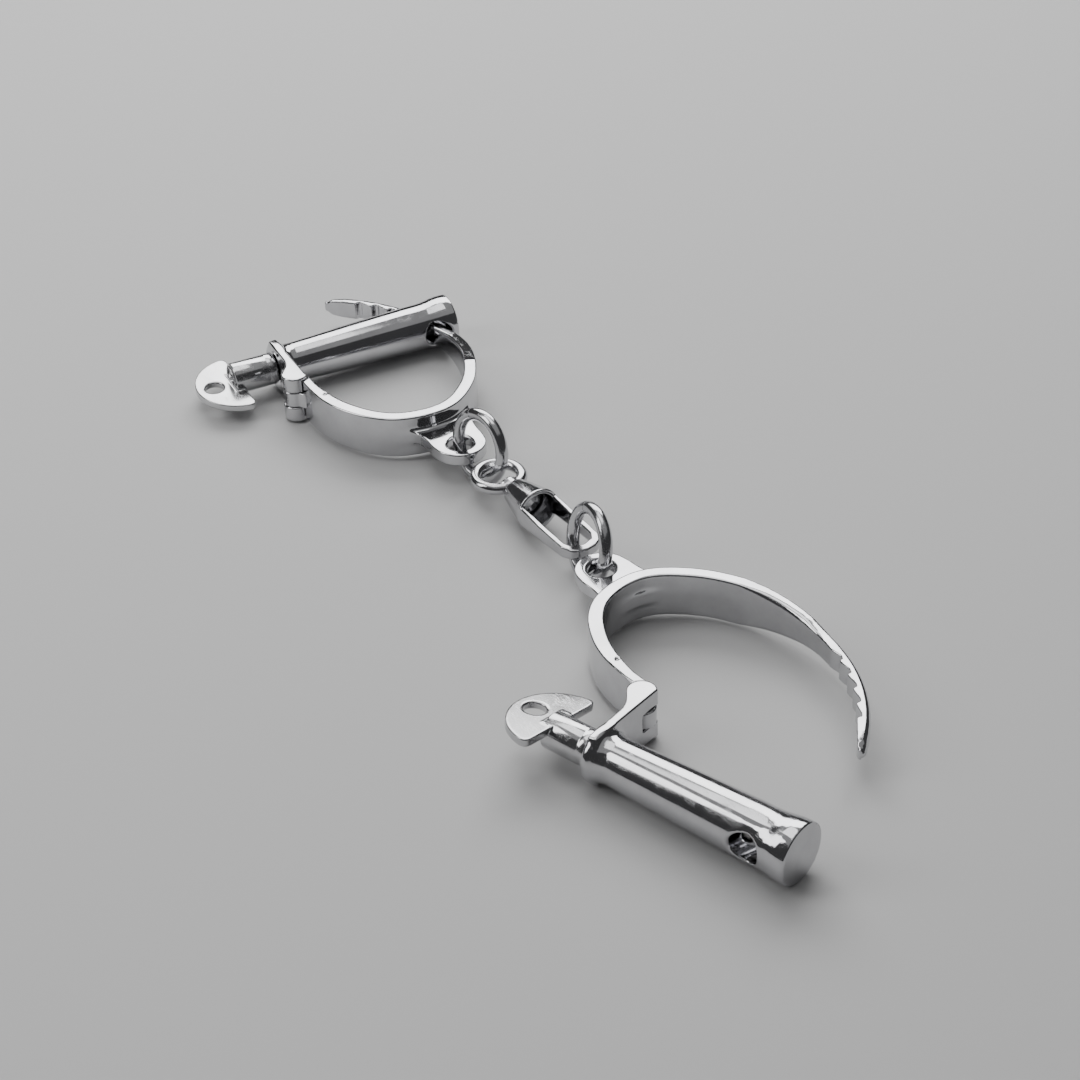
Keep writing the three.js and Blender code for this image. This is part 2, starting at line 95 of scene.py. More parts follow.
# ---- bow (mm, degrees) ----
BAND_HALF_H = 8.9
SHOULDER_R = 5.9
TONGUE_R = 5.0
TONGUE_HALF_H = 3.3
TAIL_OUTER_R = 75.9
TAIL_HALF_H = 4.1
TAIL_CREST_R = 71.2
VALLEY_R = 72.8
TOOTH_COUNT = 5
TOOTH_PITCH = 6.2
FIRST_VALLEY = -20.2
LUG_HOLE = np.array([35.5, 95.5])
LUG_HOLE_R = 5.1
LUG_HALF_H = 2.5
LUG_FILLET = 2.2
LUG_BEVEL = 0.8
LUG_BEVEL_SLOPE = 1.2
STAMP_R = 0.75

# ---- key (mm, degrees) ----
SHANK_R = 4.9
SHANK_X = (-24.0, 16.0)
SHANK_HEAD_R = 6.7
SHANK_HEAD_END_X = -5.2
SHANK_BORE_R = 3.0
PLATE_X = -20.4
PLATE_Z = 3.2
PLATE_R = 18.8
PLATE_HALF_T = 1.5
KEY_HOLE_X = -31.9
KEY_HOLE_R = 4.0
KEY_HOLE_BEVEL = 0.5
PLATE_CORNER = 3.0
BRAZE_LUMP = 0.22
BRAZE_OUT = 0.35
BRAZE_UP = 0.25
BRAZE_HALF_W = 2.2
BRAZE_BACK = 1.8
PIECE_GAP = 0.1
GROOVE_X = -9.2
GROOVE_DEPTH = 0.12
KEY_ROLL = {"a": 3.0, "b": -11.0}

# ---- chain (mm, degrees) ----
RING_R = 13.2
RING_WIRE_R = 2.5
RING_LAY = {"a": (9.0, 9.0), "b": (-7.5, 12.5)}
EYE_R = 9.0
EYE_WIRE_R = 2.3
STEM_R = 2.4
NECK_HOLE_R = 2.8
YOKE_START_X = 12.0
YOKE_MOUTH_X = 29.0
YOKE_END_X = 63.0
WINDOW_END_X = 59.5
BELL_R = 9.0
YOKE_TIP_HALF_W = 8.2
MOUTH_INNER_R = 7.2
CAVITY_X = 20.5
CAVITY_R = 5.4
JOIN_BEARING = 118
JOIN_WIDTH = 1.1
JOIN_DEPTH = 0.16

# ---- floor and light: each box has heading, elevation, distance, size (metres) and watts ----
FLOOR_SIZE = 8.0
FLOOR_GREY = 0.58
FLOOR_ROUGHNESS = 0.75
WORLD_COLOUR = (0.06, 0.06, 0.062, 1)
# These headings are counted from the view's own; the sky box stands straight overhead.
SOFT_BOXES = {
    "back_box": (0, 40, 1.6, (1.7, 0.9), 25),
    "side_box": (95, 38, 1.5, (0.5, 1.0), 6),
    "top_box": (30, 78, 1.5, (0.9, 0.9), 5),
}
SKY_BOX = (0, 90, 3.2, (5.0, 5.0), 22)

# ---- camera: what it looks at, from how far and at which angles (metres, degrees) ----
VIEW_TARGET = (-0.00846, 0.01491, 0.0)
VIEW_DISTANCE = 0.880
VIEW_HEADING = 149.84
VIEW_ELEVATION = 34.86
VIEW_ROLL = -2.15
LENS_MM = 77.24
SENSOR_MM = 36.0
VIEW_SHIFT = 0.0032


# ---------------------------------------------------------------- distance fields

def smin(a, b, k):
    """Union with a fillet about k wide."""
    h = np.maximum(k - np.abs(a - b), 0) / k
    return np.minimum(a, b) - h * h * k / 4


def smax(a, b, k):
    """Intersection with an edge rounded over about k."""
    return -smin(-a, -b, k)


def cut(body, tool, k):
    """Body less the tool, with the new edge rounded over about k."""
    return smax(body, -tool, k)


def rounded(d2, height, half_height, r):
    """Field of a plan d2 extruded to |height| < half_height, with edges of radius r."""
    side = d2 + r
    top = np.abs(height) - half_height + r
    outside = np.hypot(np.maximum(side, 0), np.maximum(top, 0))
    return np.minimum(np.maximum(side, top), 0) + outside - r


def segments(points, closed):
    """Start and end points of a line's segments."""
    pts = np.asarray(points, float)
    ends = np.roll(pts, -1, axis=0) if closed else pts[1:]
    return (pts if closed else pts[:-1]), ends


def along_line(p, points):
    """Nearest place on an open line: signed distance (left positive) and running index."""
    starts, ends = segments(points, False)
    best = np.full(len(p), np.inf)
    signed = np.zeros(len(p))
    index = np.zeros(len(p))
    for i, (a, b) in enumerate(zip(starts, ends)):
        ab = b - a
        rel = p - a
        t = np.clip(rel @ ab / (ab @ ab), 0, 1)
        off = rel - t[:, None] * ab
        dist = np.hypot(off[:, 0], off[:, 1])
        near = dist < best
        side = np.sign(ab[0] * rel[:, 1] - ab[1] * rel[:, 0])
        best[near] = dist[near]
        signed[near] = (side * dist)[near]
        index[near] = i + t[near]
    return signed, index


def polygon(p, points):
    """Signed distance to a closed outline, negative inside."""
    starts, ends = segments(points, True)
    best = np.full(len(p), np.inf)
    inside = np.zeros(len(p), bool)
    for a, b in zip(starts, ends):
        ab = b - a
        rel = p - a
        t = np.clip(rel @ ab / (ab @ ab), 0, 1)
        off = rel - t[:, None] * ab
        best = np.minimum(best, off[:, 0] ** 2 + off[:, 1] ** 2)
        crosses = (a[1] > p[:, 1]) != (b[1] > p[:, 1])
        rise = b[1] - a[1] if b[1] != a[1] else 1.0
        x = a[0] + (p[:, 1] - a[1]) * ab[0] / rise
        inside ^= crosses & (p[:, 0] < x)
    dist = np.sqrt(best)
    return np.where(inside, -dist, dist)


def circle(p, centre, r):
    """Plan field of a disc."""
    return np.hypot(p[:, 0] - centre[0], p[:, 1] - centre[1]) - r


def turned(p, profile):
    """Solid of revolution about x from [x, r] points, first and last on the axis."""
    flat = np.stack([p[:, 0], np.hypot(p[:, 1], p[:, 2])], axis=1)
    below = [(x, -r) for x, r in reversed(profile) if r > 0]
    return polygon(flat, list(profile) + below)


def smooth_line(points, steps):
    """Uniform Catmull-Rom line through the points, with any extra columns blended linearly."""
    rows = np.asarray(points, float)
    xy = rows[:, :2]
    padded = np.vstack([2 * xy[0] - xy[1], xy, 2 * xy[-1] - xy[-2]])
    out = []
    for i in range(len(rows) - 1):
        p0, p1, p2, p3 = padded[i:i + 4]
        for t in np.arange(steps) / steps:
            place = 0.5 * (2 * p1 + (p2 - p0) * t + (2 * p0 - 5 * p1 + 4 * p2 - p3) * t ** 2
                           + (3 * p1 - p0 - 3 * p2 + p3) * t ** 3)
            extra = rows[i, 2:] + (rows[i + 1, 2:] - rows[i, 2:]) * t
            out.append(np.concatenate([place, extra]))
    out.append(rows[-1])
    return np.array(out)


def arc(centre, r, start, end, count):
    """Points along an arc between two bearings in degrees."""
    angles = np.radians(np.linspace(start, end, count))
    return [(centre[0] + r * math.cos(a), centre[1] + r * math.sin(a)) for a in angles]


# ---------------------------------------------------------------- field to mesh

BLOCK = 6
HALF_DIAGONAL = 0.87
STEEPEST = 1.5
REACH_MARGIN = 1.0
POINTS_AT_ONCE = 60000
NUDGE = 0.02
LATHE_SIDES = 96
ACROSS = ((1, 2), (2, 0), (0, 1))
ROUND_AN_EDGE = ((1, 1), (0, 1), (0, 0), (1, 0))


def lattice(counts):
    """Every index triple of a block of counts, as rows."""
    return np.stack(np.meshgrid(*[np.arange(n) for n in counts], indexing="ij"), -1).reshape(-1, 3)


def sampled(field, axes, step):
    """Field on the grid; blocks that the surface cannot reach keep their middle's value."""
    shape = [len(a) for a in axes]
    blocks = [math.ceil(n / BLOCK) for n in shape]
    starts = lattice(blocks) * BLOCK
    origin = np.array([a[0] for a in axes])
    middles = field(origin + (starts + BLOCK / 2) * step)
    value = middles.reshape(blocks)
    for axis in range(3):
        value = np.repeat(value, BLOCK, axis)
    reach = BLOCK * step * HALF_DIAGONAL * STEEPEST + REACH_MARGIN
    near = starts[np.abs(middles) < reach]
    index = (near[:, None, :] + lattice([BLOCK] * 3)[None, :, :]).reshape(-1, 3)
    for part in np.array_split(index, max(1, len(index) // POINTS_AT_ONCE)):
        value[tuple(part.T)] = field(origin + part * step)
    return value[tuple(slice(0, n) for n in shape)]


def crossed_edges(value, axis):
    """Grid edges along an axis that the surface crosses: their starts and both end values."""
    last = value.shape[axis] - 1
    a = np.take(value, range(last), axis)
    b = np.take(value, range(1, last + 1), axis)
    where = np.argwhere((a < 0) != (b < 0))
    return where, a[tuple(where.T)], b[tuple(where.T)]


def cells_round(where, axis):
    """The four cells that share each edge, in order round it."""
    cells = []
    for back in ROUND_AN_EDGE:
        cell = where.copy()
        cell[:, ACROSS[axis]] -= back
        cells.append(tuple(cell.T))
    return cells


def surface_net(field, low, high, step):
    """Closed quad mesh of field = 0 on a grid, with each vertex moved onto the surface."""
    axes = [np.arange(low[i], high[i] + step, step) for i in range(3)]
    value = sampled(field, axes, step)
    cells = [n - 1 for n in value.shape]
    total = np.zeros(cells + [3])
    count = np.zeros(cells)
    edges = []
    for axis in range(3):
        where, before, after = crossed_edges(value, axis)
        place = where.astype(float)
        place[:, axis] += before / (before - after)
        edges.append((cells_round(where, axis), before < 0))
        for cell in edges[-1][0]:
            np.add.at(total, cell, place)
            np.add.at(count, cell, 1)
    used = count > 0
    number = np.full(cells, -1)
    number[used] = np.arange(used.sum())
    points = total[used] / count[used][:, None] * step + np.array([a[0] for a in axes])
    quads = []
    for corners, starts_inside in edges:
        quad = np.stack([number[cell] for cell in corners], axis=1)
        quad[~starts_inside] = quad[~starts_inside][:, ::-1]
        quads.append(quad)
    return onto_surface(field, points, step), np.concatenate(quads)


def onto_surface(field, points, step):
    """Two Newton steps to the surface, each held under a third of a cell."""
    for _ in range(2):
        value = field(points)
        slope = np.stack([field(points + NUDGE * axis) - value for axis in np.eye(3)], 1) / NUDGE
        size = np.maximum((slope ** 2).sum(axis=1), 0.2)
        move = -value[:, None] * slope / size[:, None]
        length = np.maximum(np.linalg.norm(move, axis=1), 1e-9)
        points = points + move * np.minimum(1, step / 3 / length)[:, None]
    return points


def make_object(name, shape, place):
    """Mesh object of (points, faces), with the place worked into its vertices."""
    points, faces = shape
    mesh = bpy.data.meshes.new(name)
    mesh.from_pydata((points * MM).tolist(), [], faces.tolist())
    mesh.transform(place)
    mesh.validate()
    mesh.shade_smooth()
    obj = bpy.data.objects.new(name, mesh)
    bpy.context.scene.collection.objects.link(obj)
    return obj


def mirrored(shape):
    """The same shape with its local z turned over."""
    points, faces = shape
    return points * np.array([1, 1, -1]), faces[:, ::-1]


def lathe(profile):
    """Revolves a closed [x, r] outline about x."""
    rows = np.asarray(profile, float)
    angles = np.linspace(0, 2 * math.pi, LATHE_SIDES, endpoint=False)
    points = [(x, r * math.cos(a), r * math.sin(a)) for x, r in rows for a in angles]
    faces = []
    for i in range(len(rows)):
        row = i * LATHE_SIDES
        next_row = (i + 1) % len(rows) * LATHE_SIDES
        for j in range(LATHE_SIDES):
            k = (j + 1) % LATHE_SIDES
            faces.append((row + j, next_row + j, next_row + k, row + k))
    return np.array(points), np.array(faces)


# ---------------------------------------------------------------- barrel with arm and fork

BARREL_PROFILE = [
    (COLLAR_X, 0), (COLLAR_X, 9.2), (COLLAR_X + 0.5, 9.9), (COLLAR_X + 1.2, 10.2), (-2.2, 10.25),
    (ARM_FACE_X, 9.95), (-0.5, 9.35), (0.5, 8.9), (1.6, 8.6), (3.6, 8.4), (16.8, 8.82),
    (30, 9.25), (43.5, 9.62), (57, 9.95), (62, 9.98), (64.5, 10.05), (67, 10.3),
    (69.5, 10.75), (72, 11.05), (74, 11.1), (BARREL_END_X - END_CHAMFER, BARREL_END_R),
    (BARREL_END_X, BARREL_END_R - END_CHAMFER), (BARREL_END_X, 0),
]
BORE_PROFILE = [
    (COLLAR_X - 2, 0), (COLLAR_X - 2, MOUTH_INSIDE_R[0]), (COLLAR_X - 0.1, MOUTH_INSIDE_R[1]),
    (COLLAR_X + 1.0, BORE_R), (BORE_END_X, BORE_R), (BORE_END_X, GUIDE_R),
    (GUIDE_END_X, GUIDE_R), (GUIDE_END_X, 0),
]


def arm_outline():
    """Plan of the arm: straight wrist side, round knuckle, hollow waist on the key side."""
    corner_y = HINGE[1] + math.sqrt(KNUCKLE_R ** 2 - (ARM_FACE_X - HINGE[0]) ** 2)
    start = math.degrees(math.atan2(corner_y - HINGE[1], ARM_FACE_X - HINGE[0]))
    waist = smooth_line([(-10.2, 22.6), (-8.6, 20.3), (-6.3, 17.2), (-5.0, 13.6), (-4.7, 8.0)], 5)
    outline = [(ARM_FACE_X, -5.0)]
    outline += arc(HINGE, KNUCKLE_R, start, 205, 20)
    outline += [tuple(row) for row in waist]
    outline += [(-4.4, -5.0)]
    return outline


def passage_field(p):
    """Cross hole for the tail, square to the line from the hinge to the hole."""
    x = HINGE[0] + math.sqrt(PASSAGE_REACH ** 2 - HINGE[1] ** 2)
    slant = math.atan2(HINGE[1], x - HINGE[0])
    centre = np.array([x - PASSAGE_SHIFT * math.cos(slant), PASSAGE_SHIFT * math.sin(slant)])
    across = (p[:, 0] - centre[0]) * math.cos(slant) - (p[:, 1] - centre[1]) * math.sin(slant)
    return np.hypot(across, p[:, 2]) - PASSAGE_R


def barrel_field():
    """Barrel with its arm; the hinge pin's hole is open where z is negative, covered above."""
    outline = arm_outline()

    def field(p):
        tube = turned(p, BARREL_PROFILE)
        arm = rounded(polygon(p[:, :2], outline), p[:, 2], ARM_HALF_H, 0.55)
        body = smin(tube, arm, COLLAR_FILLET)
        body = cut(body, turned(p, BORE_PROFILE), 0.35)
        body = cut(body, passage_field(p), PASSAGE_ROUNDING)
        fork = np.maximum(circle(p, HINGE, FORK_CLEAR_R), np.abs(p[:, 2]) - FORK_HALF_GAP)
        body = cut(body, fork, 0.35)
        pin = np.maximum(circle(p, HINGE, PIN_HOLE_R), p[:, 2] - ARM_HALF_H + PIN_COVER)
        return cut(body, pin, 0.3)

    return field


# ---------------------------------------------------------------- bow

# x, y and thickness along the band, from the hinge to where the tail begins.
BAND_ROWS = [
    (-2.1, 27.0, 4.2), (-2.1, 31.0, 4.2), (-2.0, 36.0, 4.3), (-1.1, 43.0, 5.0), (0.1, 48.8, 5.4),
    (2.8, 56.3, 5.6), (7.6, 64.6, 5.7), (12.6, 70.3, 5.6), (18.0, 74.1, 5.5), (24.0, 76.2, 5.4),
    (30.6, 77.1, 5.4), (37.5, 76.5, 5.4), (44.0, 73.6, 5.4), (50.0, 68.6, 5.4), (55.3, 62.6, 5.3),
    (59.2, 56.4, 5.2),
]
# Bearing from the hinge, thickness, half height and inset from the tail's outer arc.
TAIL_ROWS = [
    (20, 5.2, BAND_HALF_H, 1.1), (13, 5.1, 8.1, 0.7), (6, 5.0, 7.1, 0.3), (-1.5, 4.9, 5.9, 0),
    (-5, 4.8, 5.15, 0), (-8, 4.7, 4.55, 0), (-11, 4.7, 4.2, 0), (-16, 4.7, TAIL_HALF_H, 0),
    (-24, 4.7, TAIL_HALF_H, 0), (-32, 4.7, TAIL_HALF_H, 0), (-40, 4.7, TAIL_HALF_H, 0),
    (-47, 4.7, TAIL_HALF_H, 0), (-51, 4.3, 4.0, 0), (-54.8, 3.5, 3.5, 0), (-56.6, 2.9, 2.1, 0),
]


def tail_point(bearing, r):
    """Point at a bearing in degrees and a distance from the hinge."""
    a = math.radians(bearing)
    return HINGE[0] + r * math.cos(a), HINGE[1] + r * math.sin(a)


def band_line():
    """Middle line of band and tail, with thickness and half height."""
    rows = [(x, y, t, BAND_HALF_H) for x, y, t in BAND_ROWS]
    for bearing, t, h, inset in TAIL_ROWS:
        rows.append((*tail_point(bearing, TAIL_OUTER_R - inset - t / 2), t, h))
    return smooth_line(rows, 5)


def notch_outline(valley):
    """Plan of one notch in the tail, deepest at the valley's bearing."""
    return [
        tail_point(valley + 3.9, TAIL_CREST_R - 2), tail_point(valley + 3.9, TAIL_CREST_R + 0.05),
        tail_point(valley + 1.4, VALLEY_R - 0.45), tail_point(valley + 0.4, VALLEY_R),
        tail_point(valley - 0.5, VALLEY_R - 0.1), tail_point(valley - 1.2, TAIL_CREST_R - 0.2),
        tail_point(valley - 1.2, TAIL_CREST_R - 2),
    ]


# Plan of the lug, and of the neck that joins the hinge tongue to the band.
LUG_ROWS = [
    (20.5, 76.5), (23.6, 81.5), (24.7, 87), (24.8, 93), (26.2, 99), (30, 103.4), (35.5, 105.2),
    (41.2, 103.6), (45.2, 99), (46.4, 93), (46.6, 87), (47.8, 80.5), (50.5, 71.5),
]
TONGUE_NECK = [
    (HINGE[0] - 3.5, HINGE[1] + 1), (HINGE[0] + 4.6, HINGE[1] + 1), (-0.2, 33), (-4.0, 33),
]
STAMP_DOT = (0.0, 44.2)


def band_field():
    """Band and tail, with the notches and the room round the hinge."""
    line = band_line()
    stations = np.arange(len(line))
    outer_round = np.interp(line[:, 3], [TAIL_HALF_H, BAND_HALF_H], [2.6, 0.9])
    inner_round = np.interp(line[:, 3], [TAIL_HALF_H, 6, 8, BAND_HALF_H], [0.7, 2.6, 2.2, 0.9])
    notches = [notch_outline(FIRST_VALLEY - i * TOOTH_PITCH) for i in range(TOOTH_COUNT)]

    def field(p):
        xy = p[:, :2]
        side, index = along_line(xy, line[:, :2])
        thick = np.interp(index, stations, line[:, 2])
        height = np.interp(index, stations, line[:, 3])
        top = np.abs(p[:, 2]) - height
        outer = smax(side - thick / 2, top, np.interp(index, stations, outer_round))
        inner = smax(-side - thick / 2, top, np.interp(index, stations, inner_round))
        band = np.maximum(outer, inner)
        band = cut(band, circle(p, HINGE, SHOULDER_R), 0.5)
        for outline in notches:
            band = cut(band, polygon(xy, outline), 0.45)
        return band

    return field


def bow_holes(p, body):
    """The bow's body with its lug hole, pin hole and stamped dots cut."""
    above = np.maximum(np.abs(p[:, 2]) - LUG_HALF_H + LUG_BEVEL, 0)
    bevel = circle(p, LUG_HOLE, LUG_HOLE_R) - above * LUG_BEVEL_SLOPE
    body = cut(body, bevel, 0.5)
    body = cut(body, circle(p, HINGE, PIN_HOLE_R), 0.3)
    depth = np.abs(np.abs(p[:, 2]) - BAND_HALF_H)
    dot = np.hypot(circle(p, STAMP_DOT, 0), depth) - STAMP_R
    return cut(body, dot, 0.2)


def bow_field():
    """Band, notched tail, lug and hinge tongue in one."""
    band = band_field()
    lug_outline = smooth_line(LUG_ROWS, 4)

    def field(p):
        xy = p[:, :2]
        lug = rounded(polygon(xy, lug_outline), p[:, 2], LUG_HALF_H, 0.5)
        body = smin(band(p), lug, LUG_FILLET)
        eye = rounded(circle(p, HINGE, TONGUE_R), p[:, 2], TONGUE_HALF_H, 0.3)
        neck = rounded(polygon(xy, TONGUE_NECK), p[:, 2], TONGUE_HALF_H, 0.3)
        body = smin(body, np.minimum(eye, neck), 0.6)
        return bow_holes(p, body)

    return field


# ---------------------------------------------------------------- key

def key_plate_field(p):
    """Half-round plate to one side of the shank, with a lumpy braze where they meet."""
    height = p[:, 2] - PLATE_Z
    plan = smax(circle(p, (PLATE_X, 0), PLATE_R), p[:, 0] - PLATE_X, PLATE_CORNER)
    plate = rounded(plan, height, PLATE_HALF_T, 0.4)
    hole = circle(p, (KEY_HOLE_X, 0), KEY_HOLE_R)
    bevel = hole - np.maximum(np.abs(height) - PLATE_HALF_T + KEY_HOLE_BEVEL, 0)
    plate = cut(plate, bevel, 0.3)
    r = np.hypot(p[:, 1], p[:, 2])
    lumps = np.sin(1.9 * p[:, 0] + 2.3 * p[:, 1]) * np.sin(2.6 * p[:, 1] - 1.3 * p[:, 2])
    braze = r - SHANK_HEAD_R - BRAZE_OUT - BRAZE_LUMP * lumps
    braze = np.maximum(braze, np.abs(p[:, 0] - PLATE_X + BRAZE_BACK) - BRAZE_HALF_W)
    braze = np.maximum(braze, np.abs(height) - PLATE_HALF_T - BRAZE_UP)
    body = smin(plate, braze, 0.8)
    shank = np.maximum(r - SHANK_HEAD_R - PIECE_GAP, SHANK_X[0] - PIECE_GAP - p[:, 0])
    return cut(body, shank, 0.2)


def shank_outline():
    """Thick head outside the barrel, a thinner hollow end inside it."""
    start, end = SHANK_X
    head = [(start, 1.2), (start, SHANK_HEAD_R - 0.7), (start + 0.1, SHANK_HEAD_R - 0.35),
            (start + 0.35, SHANK_HEAD_R - 0.08), (start + 0.7, SHANK_HEAD_R),
            (GROOVE_X - 0.3, SHANK_HEAD_R), (GROOVE_X, SHANK_HEAD_R - GROOVE_DEPTH),
            (GROOVE_X + 0.3, SHANK_HEAD_R),
            (SHANK_HEAD_END_X - 0.4, SHANK_HEAD_R), (SHANK_HEAD_END_X, SHANK_HEAD_R - 0.4)]
    tip = [(SHANK_HEAD_END_X, SHANK_R), (end - 0.7, SHANK_R), (end - 0.2, SHANK_R - 0.15),
           (end, SHANK_R - 0.5), (end, SHANK_BORE_R), (-2.0, SHANK_BORE_R), (-2.0, 1.2)]
    return head + tip


# ---------------------------------------------------------------- chain

def ring_field(p):
    """Round wire ring in the x-z plane, with a shallow groove at its join."""
    tube = np.hypot(np.hypot(p[:, 0], p[:, 2]) - RING_R, p[:, 1]) - RING_WIRE_R
    join = np.degrees(np.arctan2(p[:, 2], p[:, 0]))
    groove = JOIN_DEPTH * np.exp(-((join - JOIN_BEARING) / JOIN_WIDTH) ** 2)
    return tube + groove


EYE_STEM = [
    (7.0, 0), (7.0, 3.6), (10.8, 2.9), (11.6, STEM_R), (20.8, STEM_R), (20.8, 4.8), (22.2, 4.8),
    (23.4, 3.2), (23.8, 0),
]
BELL_OUTLINE = [
    (YOKE_START_X, NECK_HOLE_R), (YOKE_START_X, 4.7), (YOKE_START_X + 0.8, 5.4),
    (YOKE_START_X + 6, 6.7), (YOKE_MOUTH_X - 0.5, BELL_R), (YOKE_MOUTH_X, BELL_R - 0.4),
    (YOKE_MOUTH_X, MOUTH_INNER_R), (CAVITY_X, CAVITY_R), (CAVITY_X, NECK_HOLE_R),
]


def eye_field(p):
    """Swivel eye with its stem and the button that holds it in the yoke."""
    tube = np.hypot(np.hypot(p[:, 0], p[:, 1]) - EYE_R, p[:, 2]) - EYE_WIRE_R
    return smin(tube, turned(p, EYE_STEM), 1.2)


def mirrored_plan(half):
    """Outline from its half at y < 0, carried round to y > 0."""
    return half + [(x, -y) for x, y in reversed(half) if y < 0]


def yoke_field(p):
    """Conical bell open at its mouth, with a stirrup of two arms round a window."""
    flat = np.stack([p[:, 0], np.hypot(p[:, 1], p[:, 2])], axis=1)
    bell = polygon(flat, BELL_OUTLINE)
    plan = mirrored_plan([
        (YOKE_MOUTH_X - 4, -BELL_R), (YOKE_MOUTH_X, -BELL_R), (YOKE_END_X - 6, -YOKE_TIP_HALF_W),
        (YOKE_END_X - 2.2, -6.4), (YOKE_END_X - 0.6, -3.6), (YOKE_END_X, 0),
    ])
    window = mirrored_plan([
        (YOKE_MOUTH_X - 9, -6.5), (WINDOW_END_X - 4, -5.8), (WINDOW_END_X - 1.2, -4.2),
        (WINDOW_END_X, 0),
    ])
    height = np.interp(p[:, 0], [YOKE_MOUTH_X, YOKE_MOUTH_X + 12, YOKE_END_X - 4, YOKE_END_X],
                       [4.2, 3.1, 2.3, 1.7])
    arms = rounded(polygon(p[:, :2], plan), p[:, 2], height, 0.7)
    envelope = np.interp(p[:, 0], [YOKE_MOUTH_X - 4, YOKE_MOUTH_X], [BELL_R - 0.9, BELL_R - 0.1])
    arms = smax(arms, flat[:, 1] - envelope, 0.6)
    arms = cut(arms, polygon(p[:, :2], window), 0.9)
    socket = [(CAVITY_X, 0), (CAVITY_X, CAVITY_R), (YOKE_MOUTH_X, MOUTH_INNER_R), (YOKE_MOUTH_X, 0)]
    arms = cut(arms, turned(p, socket), 0.3)
    return smin(bell, arms, 0.5)


# ---------------------------------------------------------------- materials

CLOUD_SCALE = 70
GRAIN_SCALE = 900
PIT_SCALE = 650
RELIEF_DEPTH = 0.0001
LINE_STRETCH = (1, 14, 14)
TARNISH = 0.12
# Scale, turn and half width of each set of scratches.
SCRATCH_SETS = [(90, (0.2, 0.5, 0.7), 0.012), (140, (0.9, 0.1, 2.1), 0.010)]


def noise(tree, coord, scale, detail, rough=0.55, stretch=(1, 1, 1), turn=(0, 0, 0)):
    """Noise value at the coordinate, which may be stretched and turned first."""
    mapping = tree.nodes.new("ShaderNodeMapping")
    mapping.inputs["Scale"].default_value = stretch
    mapping.inputs["Rotation"].default_value = turn
    tree.links.new(coord, mapping.inputs["Vector"])
    tex = tree.nodes.new("ShaderNodeTexNoise")
    tex.inputs["Scale"].default_value = scale
    tex.inputs["Detail"].default_value = detail
    tex.inputs["Roughness"].default_value = rough
    tree.links.new(mapping.outputs["Vector"], tex.inputs["Vector"])
    return tex.outputs["Fac"]


def ramp(tree, fac, stops):
    """Straight grey ramp through (position, value) stops."""
    made = tree.nodes.new("ShaderNodeValToRGB")
    points = made.color_ramp.elements
    while len(points) < len(stops):
        points.new(0.5)
    for point, (position, value) in zip(points, stops):
        point.position = position
        point.color = (value, value, value, 1)
    tree.links.new(fac, made.inputs["Fac"])
    return made.outputs["Color"]


def math_node(tree, kind, a, b):
    """A sum or product of two numbers or sockets."""
    made = tree.nodes.new("ShaderNodeMath")
    made.operation = kind
    for socket, value in zip(made.inputs, (a, b)):
        if isinstance(value, (int, float)):
            socket.default_value = value
        else:
            tree.links.new(value, socket)
    return made.outputs[0]


def weighted(tree, *terms):
    """Sum of (value, weight) terms."""
    total = None
    for value, weight in terms:
        term = math_node(tree, "MULTIPLY", value, weight)
        total = term if total is None else math_node(tree, "ADD", total, term)
    return total


def scratches(tree, coord, scale, turn, width):
    """Thin long lines: the zero crossing of a stretched noise, broken up by a second one."""
    lines = noise(tree, coord, scale, 2.0, 0.5, LINE_STRETCH, turn)
    thin = ramp(tree, lines, [(0.5 - width, 0.0), (0.5, 1.0), (0.5 + width, 0.0)])
    patches = ramp(tree, noise(tree, coord, scale * 1.7, 2.0), [(0.52, 0.0), (0.62, 1.0)])
    return math_node(tree, "MULTIPLY", thin, patches)


def two_tone(tree, fac, colour):
    """The colour, darker by the tarnish where the factor is 0."""
    mix = tree.nodes.new("ShaderNodeMix")
    mix.data_type = "RGBA"
    mix.inputs["A"].default_value = (*[c * (1 - TARNISH) for c in colour], 1)
    mix.inputs["B"].default_value = (*colour, 1)
    tree.links.new(fac, mix.inputs["Factor"])
    return mix.outputs["Result"]


def add_relief(tree, shader, height, strength):
    """Lets a height socket tilt the shader's normal."""
    relief = tree.nodes.new("ShaderNodeBump")
    relief.inputs["Strength"].default_value = strength
    relief.inputs["Distance"].default_value = RELIEF_DEPTH
    tree.links.new(height, relief.inputs["Height"])
    tree.links.new(relief.outputs["Normal"], shader.inputs["Normal"])


